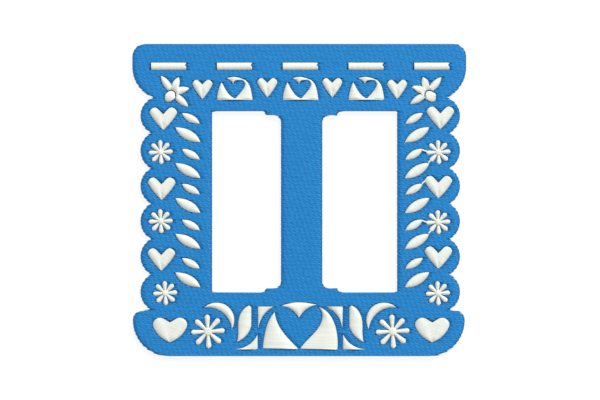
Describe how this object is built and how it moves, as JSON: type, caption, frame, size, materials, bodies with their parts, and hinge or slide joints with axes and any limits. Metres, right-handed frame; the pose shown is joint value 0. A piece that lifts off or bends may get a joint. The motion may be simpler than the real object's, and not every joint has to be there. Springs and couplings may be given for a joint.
{
  "type": "embroidered papel picado panel",
  "caption": "Flat embroidered panel in cut-paper banner style: scalloped sides, twin open windows, and raised heart, leaf and daisy motifs in satin stitch.",
  "frame": {"origin": "under the middle of the panel, on the back face it lies on", "axes": "+Z out of the embroidered face, +X to the panel's right, +Y towards its top edge with the row of dashes"},
  "size_m": [0.07, 0.0654, 0.0016],
  "materials": {
    "blue_thread": "polyester embroidery thread, flat fill",
    "cream_thread": "rayon embroidery thread, raised satin stitch",
    "ground_cloth": "woven cotton twill",
    "bobbin_thread": "spun polyester lower thread"
  },
  "bodies": {
    "root": {"bobbin_thread": "bobbin_thread", "ground_cloth": "ground_cloth", "blue_fill": "blue_thread", "dash_bar_1": "cream_thread", "dash_bar_2": "cream_thread", "dash_bar_3": "cream_thread", "dash_bar_4": "cream_thread", "dash_bar_5": "cream_thread", "top_heart_1": "cream_thread", "top_heart_2": "cream_thread", "top_heart_3": "cream_thread", "top_heart_4": "cream_thread", "arch_1": "cream_thread", "arch_2": "cream_thread", "arch_3": "cream_thread", "corner_flower_left": "cream_thread", "corner_flower_right": "cream_thread", "left_heart_1": "cream_thread", "left_heart_2": "cream_thread", "left_heart_3": "cream_thread", "left_daisy_1": "cream_thread", "left_daisy_2": "cream_thread", "left_daisy_3": "cream_thread", "right_heart_1": "cream_thread", "right_heart_2": "cream_thread", "right_heart_3": "cream_thread", "right_daisy_1": "cream_thread", "right_daisy_2": "cream_thread", "right_daisy_3": "cream_thread", "left_leaf_pair_1": "cream_thread", "left_leaf_pair_2": "cream_thread", "left_leaf_pair_3": "cream_thread", "left_leaf_pair_4": "cream_thread", "left_leaf_pair_5": "cream_thread", "right_leaf_pair_1": "cream_thread", "right_leaf_pair_2": "cream_thread", "right_leaf_pair_3": "cream_thread", "right_leaf_pair_4": "cream_thread", "right_leaf_pair_5": "cream_thread", "bottom_heart_left": "cream_thread", "bottom_heart_right": "cream_thread", "big_daisy_left": "cream_thread", "big_daisy_right": "cream_thread", "crescent_left": "cream_thread", "crescent_right": "cream_thread", "half_lens_left": "cream_thread", "half_lens_right": "cream_thread", "upper_scrap_left": "cream_thread", "upper_scrap_right": "cream_thread", "lower_scrap_left": "cream_thread", "lower_scrap_right": "cream_thread", "medallion_crest": "cream_thread", "medallion_horn_left": "cream_thread", "medallion_horn_right": "cream_thread"}
  },
  "joints": []
}
